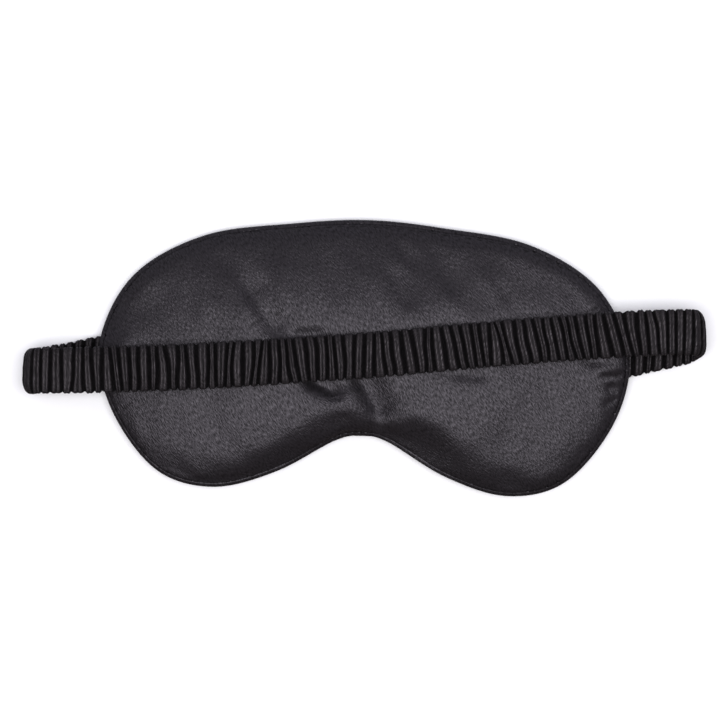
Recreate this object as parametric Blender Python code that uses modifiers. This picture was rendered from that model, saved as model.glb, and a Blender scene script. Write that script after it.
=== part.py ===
"""Sleep eye mask: a padded satin mask with a ruched elastic strap, lying flat with its face side up.

The outer panel rests on Z = 0, the nose fold runs along Y at X = 0, and the strap is sewn into both side
seams, turned over outside them and laid back across the face panel. Metres, +Z up, +Y towards the brow.
"""

import math

import bmesh
import bpy
import numpy as np
from mathutils import Matrix, Vector

MM = 0.001

# The mask's outline, right half, from the top centre round the side to the nose notch.
OUTLINE_MM = (
    (0.0, 53.5),
    (30.0, 51.2),
    (64.5, 45.5),
    (91.9, 29.2),
    (104.5, 3.0),
    (99.8, -23.0),
    (81.5, -47.0),
    (58.5, -53.5),
    (33.6, -46.6),
    (11.0, -33.8),
    (0.0, -31.4),
)
SIDE_X = 104.2 * MM  # where the outline's tip is cut straight for the strap

# Heights of the pad.
SEAM_Z = 3.5 * MM
PAD_TOP_Z = 12.0 * MM
SATIN = 0.5 * MM  # one layer of satin with its fusible backing
PLY_GAP = 0.15 * MM  # half the gap between the two panels along the seam
LAYER_GAP = 0.4 * MM
FACE_ROLL = 38.0 * MM  # how far in from the seam the face panel reaches its full height
OUTER_ROLL = 22.0 * MM  # how far in from the seam the outer panel lies flat
ROLL_POWER = 0.8
NOSE_DIP = 0.2  # the face panel is this share lower at the nose
NOSE_DIP_WIDTH = 18.0 * MM
PANEL_GRID = (16, 12)
FILLING_GRID = (12, 10)
WADDING_INSET = 10.0 * MM
LINING = 0.4 * MM
LINING_INSET = 9.5 * MM

# Seam, stitches and the strap's sewn ends.
ALLOWANCE_FROM = 3.0 * MM
ALLOWANCE_TO = 8.0 * MM
THREAD_RADIUS = 0.2 * MM
TOPSTITCH_INSET = 2.2 * MM
TOPSTITCH_STEP = 5.0 * MM
TOPSTITCH_X = {"left": (0.8 * MM, 17.0 * MM), "right": (0.8 * MM, 77.0 * MM)}
MOUTH_LIFT = 1.7 * MM  # how far each panel's edge parts where the strap goes in
MOUTH_WIDTH = 13.0 * MM
MOUTH_DEPTH = 24.0 * MM  # the seam lies closed again this far in from its edge
ALLOWANCE_DROP = 1.5 * MM  # how far the seam allowance lies lower under the strap's end
TAIL_SIZE = Vector((9.5, 17.0, 1.6)) * MM
TAIL_END_X = 105.3 * MM
BARTACK_SIZE = Vector((1.2, 14.0, 0.5)) * MM
BARTACK_X = 100.7 * MM

# The strap: a ruched satin sleeve with a flat elastic inside.
SLEEVE_WIDTH = 18.6 * MM
SLEEVE_THICK = 4.0 * MM
SLEEVE_WALL = 0.5 * MM
SLEEVE_SIDE_POWER = 0.55  # below 1 the section is squarer than an ellipse
SLEEVE_FACE_POWER = 0.7
SLEEVE_POINTS = 16
ELASTIC_WIDTH = 12.0 * MM
ELASTIC_THICK = 0.9 * MM
SEAM_PIVOT_X = 106.2 * MM
TURN_X = 126.4 * MM
TURN_Z = 8.5 * MM
TURN_RADIUS = 6.1 * MM

# The folds. Every strap joint follows the nose fold by its ratio, so that the loop stays closed.
NOSE_PIVOT_Z = 6.0 * MM
NOSE_FOLD_MAX = math.radians(60.0)
NOSE_CLEARANCE = 0.3 * MM
NOSE_RELIEF_FADE = 6  # how quickly the room left for the fold fades away from the nose
TURN_JOINTS = (-60.0, 0.0, 60.0)  # degrees round the turn, from the horizontal
BAND_JOINTS_X = (105.0 * MM, 66.0 * MM, 28.0 * MM)
RATIOS = (0.8, -0.623, -0.858, -1.037, 0.405, 0.44, 0.372)
LINKS = (
    "leg",
    "turn_lower",
    "turn_upper",
    "band_outer",
    "band_side",
    "band_back",
    "band_middle",
)
JOINTS = (
    "seam",
    "turn_first",
    "turn_second",
    "turn_third",
    "band_first",
    "band_second",
    "band_third",
)
LINK_GAP = 0.25 * MM
TURN_STATIONS = 4
STRAIGHT_STATIONS = 3

# How far the strap's centre line lies up the mask, in millimetres, at the seam, at the turn's start and
# end, and at a point half-way along the band. It crosses the mask's centre at zero on both sides.
STRAP_Y_MM = {
    "left": (-4.6, -9.2, -9.9, -6.1),
    "right": (3.9, 9.0, 13.3, 7.9),
}
BAND_HALFWAY_X = 65.0 * MM

MATERIALS = {
    "satin_face": ((0.065, 0.06, 0.07), 0.42),
    "satin_outer": ((0.06, 0.055, 0.065), 0.42),
    "satin_sleeve": ((0.05, 0.045, 0.05), 0.45),
    "wadding": ((0.75, 0.74, 0.70), 0.95),
    "lining": ((0.02, 0.02, 0.022), 0.9),
    "thread": ((0.02, 0.02, 0.02), 0.6),
    "elastic": ((0.03, 0.03, 0.03), 0.8),
}
SIDES = {"left": -1.0, "right": 1.0}


def clear_scene():
    """Remove every object, so that the model starts from an empty scene."""
    for obj in list(bpy.data.objects):
        bpy.data.objects.remove(obj, do_unlink=True)


def make_materials():
    """One Principled material for each kind of cloth, thread or filling."""
    made = {}
    for name, (colour, roughness) in MATERIALS.items():
        material = bpy.data.materials.new(name)
        material.use_nodes = True
        shader = material.node_tree.nodes["Principled BSDF"]
        shader.inputs["Base Color"].default_value = (*colour, 1.0)
        shader.inputs["Roughness"].default_value = roughness
        made[name] = material
    return made


def smooth_points(points, steps):
    """Points along a Catmull-Rom curve through the given ones, with steps points to each stretch."""
    points = np.array(points, float)
    before = 2 * points[0] - points[1]
    after = 2 * points[-1] - points[-2]
    # At both ends of the outline the curve crosses the mirror plane squarely.
    if points[0][0] == 0 and points[-1][0] == 0:
        before = points[1] * (-1, 1)
        after = points[-2] * (-1, 1)
    padded = np.vstack([before, points, after])
    made = []
    for i in range(1, len(padded) - 2):
        a, b, c, d = padded[i - 1 : i + 3]
        for t in np.arange(steps) / steps:
            made.append(
                0.5
                * (
                    2 * b
                    + (c - a) * t
                    + (2 * a - 5 * b + 4 * c - d) * t**2
                    + (3 * b - a - 3 * c + d) * t**3
                )
            )
    made.append(points[-1])
    return np.array(made)


OUTLINE = smooth_points(OUTLINE_MM, 16) * MM
WIDEST = int(np.argmax(OUTLINE[:, 0]))


def edge_distance(x, y):
    """How far a point of the right half lies inside the outline."""
    return float(np.hypot(OUTLINE[:, 0] - x, OUTLINE[:, 1] - y).min())


def inset_outline(inset):
    """The right half's outline moved inwards, as its upper and its lower stretch."""
    ahead = np.roll(OUTLINE, -1, axis=0) - np.roll(OUTLINE, 1, axis=0)
    ahead[0] = (1, 0)
    ahead[-1] = (-1, 0)
    ahead /= np.hypot(ahead[:, 0], ahead[:, 1])[:, None]
    moved = OUTLINE + inset * np.column_stack([ahead[:, 1], -ahead[:, 0]])
    return moved[: WIDEST + 1], moved[WIDEST:][::-1]


def column(x, inset):
    """The lowest and the highest Y of the inset outline at one X."""
    upper, lower = inset_outline(inset)
    return np.interp(x, lower[:, 0], lower[:, 1]), np.interp(x, upper[:, 0], upper[:, 1])


def smoothstep(t):
    """0 below 0, 1 above 1, and a smooth rise between."""
    t = min(max(t, 0.0), 1.0)
    return t * t * (3 - 2 * t)


def mouth(side, x, y):
    """How far the seam is parted for the strap, from 0 to 1, with x counted from the nose."""
    across = (y - STRAP_Y_MM[side][0] * MM) / MOUTH_WIDTH
    return math.exp(-(across**4)) * smoothstep(2 * (1 - (SIDE_X - x) / MOUTH_DEPTH))


def roll(distance, width):
    """The rise of a panel from its seam, from 0 to 1, as it rolls up over the filling."""
    return math.sin(math.pi / 2 * min(distance / width, 1.0)) ** ROLL_POWER


def face_z(side, x, y):
    """The face panel's upper surface."""
    base = SEAM_Z + PLY_GAP + SATIN
    dip = 1 - NOSE_DIP * math.exp(-((x / NOSE_DIP_WIDTH) ** 2))
    rise = (PAD_TOP_Z - base) * roll(edge_distance(x, y), FACE_ROLL) * dip
    return base + max(rise, 0.0) + MOUTH_LIFT * mouth(side, x, y)


def outer_z(side, x, y):
    """The outer panel's lower surface, flat on the ground away from its seam."""
    base = SEAM_Z - PLY_GAP - SATIN
    drop = base * roll(edge_distance(x, y), OUTER_ROLL)
    return max(base - drop - MOUTH_LIFT * mouth(side, x, y), 0.0)


def relieved(x, z):
    """X moved away from the nose fold, so that what lies above the fold's axis has room to close."""
    needed = NOSE_CLEARANCE + max(z - NOSE_PIVOT_Z, 0.0) * math.tan(NOSE_FOLD_MAX / 2)
    fade = max(1 - x / SIDE_X, 0.0) ** NOSE_RELIEF_FADE
    return x + needed * fade


def finish_mesh(name, bm, material, collection):
    """Turn a bmesh into a named, smooth-shaded object."""
    mesh = bpy.data.meshes.new(name)
    bm.to_mesh(mesh)
    bm.free()
    mesh.materials.append(material)
    mesh.shade_smooth()
    mesh.set_sharp_from_angle(angle=math.radians(40))
    obj = bpy.data.objects.new(name, mesh)
    collection.objects.link(obj)
    return obj


def solidify(obj, thickness, offset):
    """Give a sheet its thickness."""
    modifier = obj.modifiers.new("Thickness", "SOLIDIFY")
    modifier.thickness = thickness
    modifier.offset = offset
    modifier.use_even_offset = False
    return obj


def half_grid(side, inset, grid, height):
    """A grid of faces that fills one half of the inset outline, lifted to height(side, x, y)."""
    bm = bmesh.new()
    bmesh.ops.create_grid(bm, x_segments=grid[0], y_segments=grid[1], size=0.5)
    reach = SIDE_X - inset
    for vert in bm.verts:
        u = vert.co.x + 0.5
        v = vert.co.y + 0.5
        x = reach * math.sin(math.pi / 2 * u)
        low, high = column(x, inset)
        y = low + (high - low) * (1 - math.cos(math.pi * v)) / 2
        z = height(side, x, y)
        vert.co = (SIDES[side] * relieved(x, z), y, z)
    bmesh.ops.recalc_face_normals(bm, faces=bm.faces)
    return bm


def make_panel(side, name, height, facing, materials, collection):
    """Half of a satin panel: a sheet over the whole half outline, thickened towards the filling."""
    bm = half_grid(side, 0.0, PANEL_GRID, height)
    if sum(face.normal.z for face in bm.faces) * facing < 0:
        bmesh.ops.reverse_faces(bm, faces=bm.faces)
    material = materials["satin_face" if facing > 0 else "satin_outer"]
    obj = finish_mesh(name, bm, material, collection)
    return solidify(obj, SATIN, -1.0)


def wadding_top(side, x, y):
    """The wadding's upper surface, just under the face panel."""
    return face_z(side, x, y) - SATIN - 1.5 * LAYER_GAP - MOUTH_LIFT * mouth(side, x, y)


def lining_z(side, x, y):
    """The blackout lining's middle surface, just over the outer panel."""
    return outer_z(side, x, y) + SATIN + LAYER_GAP + LINING / 2 + MOUTH_LIFT * mouth(side, x, y)


def make_wadding(side, materials, collection):
    """Half of the wadding: a slab between the lining and the face panel."""
    bm = half_grid(side, WADDING_INSET, FILLING_GRID, wadding_top)
    made = bmesh.ops.extrude_face_region(bm, geom=bm.faces[:])
    for vert in made["geom"]:
        if isinstance(vert, bmesh.types.BMVert):
            x = abs(vert.co.x)
            low = lining_z(side, x, vert.co.y) + LINING / 2 + LAYER_GAP
            vert.co.z = min(low, vert.co.z - SATIN)
    bmesh.ops.recalc_face_normals(bm, faces=bm.faces)
    return finish_mesh(f"wadding_{side}", bm, materials["wadding"], collection)


def make_lining(side, materials, collection):
    """Half of the blackout lining: a dark sheet behind the wadding."""
    bm = half_grid(side, LINING_INSET, FILLING_GRID, lining_z)
    obj = finish_mesh(f"blackout_lining_{side}", bm, materials["lining"], collection)
    return solidify(obj, LINING, 0.0)


def make_allowance(side, materials, collection):
    """Half of the turned seam allowance: a flat strip inside the pad, all along the seam."""
    stretches = []
    for inset in (ALLOWANCE_FROM, (ALLOWANCE_FROM + ALLOWANCE_TO) / 2, ALLOWANCE_TO):
        upper, lower = inset_outline(inset)
        stretches.append(np.vstack([upper[::4], lower[::-1][4::4]]))
    bm = bmesh.new()
    bmesh.ops.create_grid(bm, x_segments=len(stretches[0]) - 1, y_segments=2, size=0.5)
    for vert in bm.verts:
        along = round((vert.co.x + 0.5) * (len(stretches[0]) - 1))
        across = round((vert.co.y + 0.5) * 2)
        x, y = stretches[across][along]
        x = max(x, 0.0)
        z = SEAM_Z - ALLOWANCE_DROP * mouth(side, x, y)
        vert.co = (SIDES[side] * relieved(x, z), y, z)
    bmesh.ops.recalc_face_normals(bm, faces=bm.faces)
    obj = finish_mesh(f"seam_allowance_{side}", bm, materials["satin_outer"], collection)
    return solidify(obj, SATIN, 0.0)


def make_topstitch(side, materials, collection):
    """The thread that closes the turning gap, along the top edge on the face panel."""
    upper, _ = inset_outline(TOPSTITCH_INSET)
    start, end = TOPSTITCH_X[side]
    curve = bpy.data.curves.new(f"closing_topstitch_{side}", "CURVE")
    curve.dimensions = "3D"
    curve.bevel_depth = THREAD_RADIUS
    curve.bevel_resolution = 1
    curve.use_fill_caps = True
    count = round((end - start) / TOPSTITCH_STEP) + 2
    spline = curve.splines.new("POLY")
    spline.points.add(count - 1)
    for i, point in enumerate(spline.points):
        x = start + (end - start) * i / (count - 1)
        y = np.interp(x, upper[:, 0], upper[:, 1])
        z = face_z(side, x, y) + THREAD_RADIUS + LAYER_GAP
        point.co = (SIDES[side] * x, y, z, 1.0)
    curve.materials.append(materials["thread"])
    obj = bpy.data.objects.new(f"closing_topstitch_{side}", curve)
    collection.objects.link(obj)
    return obj


def make_box(name, centre, size, material, collection):
    """A small block with softened edges."""
    bm = bmesh.new()
    bmesh.ops.create_cube(bm, size=1.0, matrix=Matrix.Diagonal((*size, 1.0)))
    bmesh.ops.recalc_face_normals(bm, faces=bm.faces)
    obj = finish_mesh(name, bm, material, collection)
    obj.location = centre
    bevel = obj.modifiers.new("Soft edges", "BEVEL")
    bevel.width = min(size) * 0.25
    bevel.segments = 2
    return obj


def make_strap_end(side, materials, collection):
    """The strap's flattened end between the panels, and the bar of stitches that holds it."""
    y = STRAP_Y_MM[side][0] * MM
    tail = make_box(
        f"strap_tail_{side}",
        (SIDES[side] * (TAIL_END_X - TAIL_SIZE.x / 2), y, SEAM_Z),
        TAIL_SIZE,
        materials["satin_sleeve"],
        collection,
    )
    bar_z = SEAM_Z + (TAIL_SIZE.z + BARTACK_SIZE.z) / 2 + LAYER_GAP
    bar = make_box(
        f"bartack_{side}",
        (SIDES[side] * BARTACK_X, y, bar_z),
        BARTACK_SIZE,
        materials["thread"],
        collection,
    )
    return tail, bar


class StrapPath:
    """The strap's centre line on one side, by the length along it from the seam's pivot."""

    def __init__(self, side):
        self.sign = SIDES[side]
        pivot = Vector((SEAM_PIVOT_X, SEAM_Z))
        centre = Vector((TURN_X, TURN_Z))
        across = centre - pivot
        slope = math.atan2(across.y, across.x) - math.asin(TURN_RADIUS / across.length)
        self.pivot = pivot
        self.centre = centre
        self.slope = slope
        self.leg = math.sqrt(across.length_squared - TURN_RADIUS**2)
        self.turn = TURN_RADIUS * (math.pi - slope)
        self.length = self.leg + self.turn + TURN_X
        y = STRAP_Y_MM[side]
        halfway = self.length - BAND_HALFWAY_X
        knots = [
            (0.0, y[0]),
            (self.leg / MM, y[1]),
            ((self.leg + self.turn) / MM, y[2]),
            (halfway / MM, y[3]),
            (self.length / MM, 0.0),
        ]
        self.lateral = smooth_points(knots, 12) * MM

    def flat(self, s):
        """The centre line's X and Z, and its direction as an angle, at length s."""
        if s < self.leg:
            angle = self.slope
            place = self.pivot + s * Vector((math.cos(angle), math.sin(angle)))
        elif s < self.leg + self.turn:
            angle = self.slope + (s - self.leg) / TURN_RADIUS
            place = self.centre + TURN_RADIUS * Vector((math.sin(angle), -math.cos(angle)))
        else:
            angle = math.pi
            place = Vector((TURN_X - (s - self.leg - self.turn), TURN_Z + TURN_RADIUS))
        return place, angle

    def at(self, s, inward, across):
        """A point at length s, offset inwards to the loop's inside and across the strap's width."""
        place, angle = self.flat(s)
        x = place.x - inward * math.sin(angle)
        z = place.y + inward * math.cos(angle)
        y = np.interp(s, self.lateral[:, 0], self.lateral[:, 1])
        return Vector((self.sign * x, y + across, z))

    def joint_lengths(self):
        """The length along the strap of each of its joints, from the seam to the band's last."""
        turns = [
            self.leg + TURN_RADIUS * (math.radians(90 + degrees) - self.slope)
            for degrees in TURN_JOINTS
        ]
        band = [self.length - x for x in BAND_JOINTS_X]
        return [0.0, *turns, *band]


def mitred(joint, index, inward, sign):
    """The length along the strap at one end of a link: short of the joint, by more where a fold closes."""
    if index is None:
        return joint + sign * LINK_GAP
    half = NOSE_FOLD_MAX * RATIOS[index] / 2
    closing = max(inward * math.copysign(1.0, half), 0.0)
    return joint + sign * (LINK_GAP + closing * math.tan(abs(half)))


def link_ends(path, number):
    """The two joints that bound one link, each with its place along the strap and its number."""
    joints = path.joint_lengths()
    first = (joints[number], number)
    if number + 1 < len(joints):
        return first, (joints[number + 1], number + 1)
    return first, (path.length, None)


def link_point(path, ends, share, inward, across):
    """A point of a link, at a share of the way between its two mitred ends."""
    (start, start_index), (end, end_index) = ends
    low = mitred(start, start_index, inward, 1.0)
    high = mitred(end, end_index, inward, -1.0)
    return path.at(low + (high - low) * share, inward, across)


def sleeve_section():
    """The sleeve's flattened outline, as offsets across the strap and inwards."""
    made = []
    for k in range(SLEEVE_POINTS):
        angle = 2 * math.pi * k / SLEEVE_POINTS
        c, s = math.cos(angle), math.sin(angle)
        across = SLEEVE_WIDTH / 2 * math.copysign(abs(c) ** SLEEVE_SIDE_POWER, c)
        inward = SLEEVE_THICK / 2 * math.copysign(abs(s) ** SLEEVE_FACE_POWER, s)
        made.append((across, inward))
    return made


def make_sleeve(side, path, number, stations, materials, collection):
    """One stretch of the sleeve: a flattened tube, open at both ends, between two joints."""
    ends = link_ends(path, number)
    bm = bmesh.new()
    rings = []
    for i in range(stations):
        share = i / (stations - 1)
        rings.append(
            [
                bm.verts.new(link_point(path, ends, share, inward, across))
                for across, inward in sleeve_section()
            ]
        )
    for one, two in zip(rings, rings[1:]):
        for k in range(len(one)):
            j = (k + 1) % len(one)
            bm.faces.new((one[k], one[j], two[j], two[k]))
    bmesh.ops.recalc_face_normals(bm, faces=bm.faces)
    obj = finish_mesh(f"sleeve_{side}_{LINKS[number]}", bm, materials["satin_sleeve"], collection)
    return solidify(obj, SLEEVE_WALL, -1.0)


def closing_offset(index):
    """An offset past the elastic's surface on the side where a joint's fold closes."""
    return 0.0 if index is None else math.copysign(ELASTIC_THICK, RATIOS[index])


def make_elastic(side, path, number, stations, materials, collection):
    """One stretch of the flat elastic inside the sleeve."""
    (start, start_index), (end, end_index) = link_ends(path, number)
    low = mitred(start, start_index, closing_offset(start_index), 1.0)
    high = mitred(end, end_index, closing_offset(end_index), -1.0)
    bm = bmesh.new()
    bmesh.ops.create_grid(bm, x_segments=stations - 1, y_segments=1, size=0.5)
    for vert in bm.verts:
        share = vert.co.x + 0.5
        vert.co = path.at(low + (high - low) * share, 0.0, vert.co.y * ELASTIC_WIDTH)
    obj = finish_mesh(f"elastic_{side}_{LINKS[number]}", bm, materials["elastic"], collection)
    return solidify(obj, ELASTIC_THICK, 0.0)


def make_pivot(name, place, parent, collection):
    """An empty on a joint's axis, which carries what the joint moves."""
    pivot = bpy.data.objects.new(name, None)
    pivot.empty_display_size = 5 * MM
    collection.objects.link(pivot)
    pivot.location = place
    if parent is not None:
        pivot.parent = parent
        pivot.location = Vector(place) - parent.matrix_world.translation
    bpy.context.view_layer.update()
    return pivot


def carry(pieces, pivot):
    """Parent pieces to a pivot without moving them."""
    for piece in pieces:
        piece.parent = pivot
        piece.matrix_parent_inverse = pivot.matrix_world.inverted()


def make_mask_half(side, materials, collection):
    """Everything in one half of the pad."""
    pieces = [
        make_panel(side, f"outer_panel_{side}", outer_z, -1.0, materials, collection),
        make_panel(side, f"face_panel_{side}", face_z, 1.0, materials, collection),
        make_wadding(side, materials, collection),
        make_lining(side, materials, collection),
        make_allowance(side, materials, collection),
        make_topstitch(side, materials, collection),
    ]
    pieces.extend(make_strap_end(side, materials, collection))
    return pieces


def make_strap_side(side, anchor, materials, collection):
    """One side of the strap, from its seam to the open middle, as a chain of hinged links."""
    path = StrapPath(side)
    parent = anchor
    for number, (link, joint) in enumerate(zip(LINKS, JOINTS)):
        place = path.at(path.joint_lengths()[number], 0.0, 0.0)
        parent = make_pivot(f"{side}_{joint}_pivot", place, parent, collection)
        count = TURN_STATIONS if link.startswith("turn") else STRAIGHT_STATIONS
        pieces = [
            make_sleeve(side, path, number, count, materials, collection),
            make_elastic(side, path, number, count, materials, collection),
        ]
        carry(pieces, parent)


def main():
    clear_scene()
    collection = bpy.data.collections.new("sleep_eye_mask")
    bpy.context.scene.collection.children.link(collection)
    materials = make_materials()
    base = make_pivot("mask_base", (0, 0, 0), None, collection)
    nose = make_pivot("nose_fold_pivot", (0, 0, NOSE_PIVOT_Z), base, collection)
    for side, anchor in (("left", base), ("right", nose)):
        carry(make_mask_half(side, materials, collection), anchor)
        make_strap_side(side, anchor, materials, collection)
    bpy.context.view_layer.update()


main()
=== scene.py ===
import math

import bmesh
import bpy
import numpy as np
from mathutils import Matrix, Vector, noise
from mathutils.bvhtree import BVHTree
from mathutils.geometry import delaunay_2d_cdt


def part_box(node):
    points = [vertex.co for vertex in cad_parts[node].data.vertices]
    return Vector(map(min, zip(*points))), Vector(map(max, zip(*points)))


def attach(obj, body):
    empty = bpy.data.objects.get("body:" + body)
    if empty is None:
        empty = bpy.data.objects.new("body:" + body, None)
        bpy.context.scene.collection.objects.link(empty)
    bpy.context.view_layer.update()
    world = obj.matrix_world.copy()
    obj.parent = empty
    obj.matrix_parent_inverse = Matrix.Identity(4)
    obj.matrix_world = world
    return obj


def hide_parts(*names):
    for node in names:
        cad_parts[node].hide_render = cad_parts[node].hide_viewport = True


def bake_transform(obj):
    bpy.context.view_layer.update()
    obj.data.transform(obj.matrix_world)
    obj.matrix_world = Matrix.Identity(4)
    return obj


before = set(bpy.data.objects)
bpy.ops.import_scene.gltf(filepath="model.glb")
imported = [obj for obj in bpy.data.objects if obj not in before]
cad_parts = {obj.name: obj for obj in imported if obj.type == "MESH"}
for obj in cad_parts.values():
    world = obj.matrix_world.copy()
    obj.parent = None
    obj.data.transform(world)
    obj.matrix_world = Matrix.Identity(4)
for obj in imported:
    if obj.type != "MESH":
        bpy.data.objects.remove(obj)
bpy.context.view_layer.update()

MM = 0.001
SIDES = {"left": -1.0, "right": 1.0}

# The mask's outline, right half, from the top centre round the side to the nose notch, as in the CAD.
OUTLINE_MM = (
    (0.0, 53.5),
    (30.0, 51.2),
    (64.5, 45.5),
    (91.9, 29.2),
    (104.5, 3.0),
    (99.8, -23.0),
    (81.5, -47.0),
    (58.5, -53.5),
    (33.6, -46.6),
    (11.0, -33.8),
    (0.0, -31.4),
)
FLOOR_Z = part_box("outer_panel_left")[0].z
PAD_TOP_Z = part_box("face_panel_left")[1].z
SEAM_Z = 3.5 * MM

# The strap's centre line, as in the CAD, by the side seam's pivot, the turn and the band above it.
SEAM_PIVOT_X = 106.2 * MM
TURN_X = 126.4 * MM
TURN_Z = 8.5 * MM
TURN_RADIUS = 6.1 * MM
STRAP_Y_MM = {
    "left": (-4.6, -9.2, -9.9, -6.1),
    "right": (3.9, 9.0, 13.3, 7.9),
}
BAND_HALFWAY_X = 65.0 * MM
LINKS = (
    "leg",
    "turn_lower",
    "turn_upper",
    "band_outer",
    "band_side",
    "band_back",
    "band_middle",
)
TURN_JOINTS = (-60.0, 0.0, 60.0)  # degrees up from the turn's outermost point
BAND_JOINTS_X = (105.0 * MM, 66.0 * MM, 28.0 * MM)


# ---------------------------------------------------------------- small helpers


def smooth_points(points, steps):
    """Points along a Catmull-Rom curve through the given ones, with steps points to each stretch."""
    points = np.array(points, float)
    before = 2 * points[0] - points[1]
    after = 2 * points[-1] - points[-2]
    if points[0][0] == 0 and points[-1][0] == 0:
        before = points[1] * (-1, 1)
        after = points[-2] * (-1, 1)
    padded = np.vstack([before, points, after])
    made = []
    for i in range(1, len(padded) - 2):
        a, b, c, d = padded[i - 1 : i + 3]
        for t in np.arange(steps) / steps:
            bend = (2 * a - 5 * b + 4 * c - d) * t**2 + (3 * b - a - 3 * c + d) * t**3
            made.append(0.5 * (2 * b + (c - a) * t + bend))
    made.append(points[-1])
    return np.array(made)


def smoothstep(t):
    t = np.clip(t, 0.0, 1.0)
    return t * t * (3 - 2 * t)


def evenly(loop, step):
    """A closed loop of points, placed again at an even step."""
    closed = np.vstack([loop, loop[:1]])
    run = np.concatenate([[0], np.cumsum(np.hypot(*np.diff(closed, axis=0).T))])
    count = int(round(run[-1] / step))
    at = np.arange(count) * run[-1] / count
    return np.column_stack([np.interp(at, run, closed[:, k]) for k in (0, 1)])


def full_outline(step):
    """The whole outline as an even closed loop, clockwise from the top centre."""
    half = smooth_points(OUTLINE_MM, 24) * MM
    other = (half * (-1, 1))[::-1]
    return evenly(np.vstack([half, other[1:-1]]), step)


def inside(points, loop):
    """Which points lie inside the loop."""
    x, y = points[:, 0][:, None], points[:, 1][:, None]
    x1, y1 = loop[:, 0], loop[:, 1]
    x2, y2 = np.roll(x1, -1), np.roll(y1, -1)
    with np.errstate(divide="ignore", invalid="ignore"):
        crossing = ((y1 > y) != (y2 > y)) & (x < (x2 - x1) * (y - y1) / (y2 - y1) + x1)
    return crossing.sum(axis=1) % 2 == 1


def nearest(points, loop):
    """For each point, its distance to the loop's nearest point, and that point's index."""
    distance = np.empty(len(points))
    index = np.empty(len(points), int)
    for start in range(0, len(points), 4000):
        part = points[start : start + 4000]
        gap = np.hypot(part[:, 0][:, None] - loop[:, 0], part[:, 1][:, None] - loop[:, 1])
        index[start : start + 4000] = gap.argmin(axis=1)
        distance[start : start + 4000] = gap.min(axis=1)
    return distance, index


def inward_normals(loop, reach):
    """For each point of a clockwise loop, the unit direction to its inside, from neighbours reach away."""
    ahead = np.roll(loop, -reach, axis=0) - np.roll(loop, reach, axis=0)
    ahead /= np.hypot(ahead[:, 0], ahead[:, 1])[:, None]
    return np.column_stack([ahead[:, 1], -ahead[:, 0]])


def new_mesh(name, verts, faces, uvs=None):
    """A smooth-shaded mesh object, with one UV for each vertex if they are given."""
    mesh = bpy.data.meshes.new(name)
    mesh.from_pydata([tuple(v) for v in verts], [], [tuple(f) for f in faces])
    mesh.validate()
    if uvs is not None:
        layer = mesh.uv_layers.new(name="flat")
        index = np.zeros(len(mesh.loops), int)
        mesh.loops.foreach_get("vertex_index", index)
        layer.data.foreach_set("uv", np.asarray(uvs, np.float32)[index].ravel())
    mesh.shade_smooth()
    obj = bpy.data.objects.new(name, mesh)
    bpy.context.scene.collection.objects.link(obj)
    return obj


def set_relief(mesh, relief):
    """Store each point's height on its pleat, from 0 in a valley to 1 on a ridge. The sleeve's material
    paints shade and adds roughness by it.
    """
    layer = mesh.attributes.new("relief", "FLOAT", "POINT")
    layer.data.foreach_set("value", np.asarray(relief, np.float32))


def coordinates(mesh):
    made = np.zeros(len(mesh.vertices) * 3)
    mesh.vertices.foreach_get("co", made)
    return made.reshape(-1, 3)


def set_coordinates(mesh, points):
    mesh.vertices.foreach_set("co", np.asarray(points, np.float32).ravel())
    mesh.update()


def apply_modifiers(obj):
    """Replace an object's mesh by what its modifiers make of it."""
    graph = bpy.context.evaluated_depsgraph_get()
    mesh = bpy.data.meshes.new_from_object(obj.evaluated_get(graph))
    obj.modifiers.clear()
    obj.data = mesh
    return obj


# ---------------------------------------------------------------- shader helpers


def mapped(owner, source, given, made):
    """A socket's value, mapped from the range given to the range made."""
    node = owner.node_tree.nodes.new("ShaderNodeMapRange")
    names = ("From Min", "From Max", "To Min", "To Max")
    for name, value in zip(names, (*given, *made)):
        node.inputs[name].default_value = value
    owner.node_tree.links.new(source, node.inputs["Value"])
    return node.outputs["Result"]


def joined(owner, operation, one, other):
    """Two sockets' values, put together by a math operation."""
    node = owner.node_tree.nodes.new("ShaderNodeMath")
    node.operation = operation
    owner.node_tree.links.new(one, node.inputs[0])
    owner.node_tree.links.new(other, node.inputs[1])
    return node.outputs["Value"]


def add_bump(owner, source, strength, distance):
    """Raise a material's surface by a socket's value."""
    bump = owner.node_tree.nodes.new("ShaderNodeBump")
    bump.inputs["Strength"].default_value = strength
    bump.inputs["Distance"].default_value = distance
    shader = owner.node_tree.nodes["Principled BSDF"]
    owner.node_tree.links.new(source, bump.inputs["Height"])
    owner.node_tree.links.new(bump.outputs["Normal"], shader.inputs["Normal"])


# ---------------------------------------------------------------- camera, lights and floor


VIEW_WIDTH = 284.8 * MM  # what the frame spans at VIEW_HEIGHT
VIEW_MIDDLE = (-1.6 * MM, -1.7 * MM)
VIEW_HEIGHT = 6 * MM
VIEW_TURN = math.radians(1.81)


def make_view():
    """The camera looks straight down, a little turned, as the mask lies in the photograph."""
    camera = bpy.data.cameras.new("camera")
    camera.lens = 100.0
    camera.sensor_width = 36.0
    camera.clip_start = 0.01
    distance = camera.lens / camera.sensor_width * VIEW_WIDTH
    obj = bpy.data.objects.new("camera", camera)
    obj.location = (*VIEW_MIDDLE, VIEW_HEIGHT + distance)
    obj.rotation_euler = (0.0, 0.0, VIEW_TURN)
    bpy.context.scene.collection.objects.link(obj)
    bpy.context.scene.camera = obj


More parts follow.
